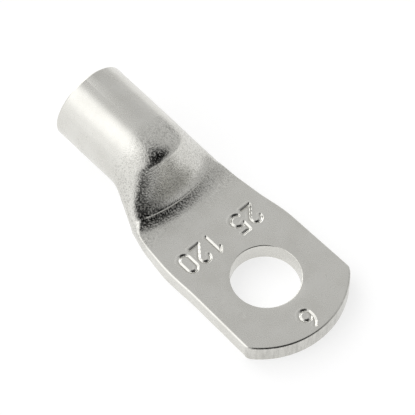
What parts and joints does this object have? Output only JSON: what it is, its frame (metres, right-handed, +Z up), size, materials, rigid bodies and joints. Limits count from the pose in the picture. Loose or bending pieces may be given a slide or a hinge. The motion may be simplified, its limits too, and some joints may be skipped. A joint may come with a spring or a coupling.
{
  "type": "tinned copper cable lug",
  "caption": "Tin-plated copper tube lug with an 8 mm round barrel, a pressed flat palm and a 6.6 mm stud hole.",
  "frame": {"origin": "centre of the stud hole, on the palm's seating face", "axes": "+X from the barrel towards the rounded tip, +Z up through the stud hole, away from the seating face"},
  "size_m": [0.0317, 0.013, 0.008],
  "materials": {
    "tin": "satin"
  },
  "bodies": {
    "root": {"cable_lug": "tin"}
  },
  "joints": []
}
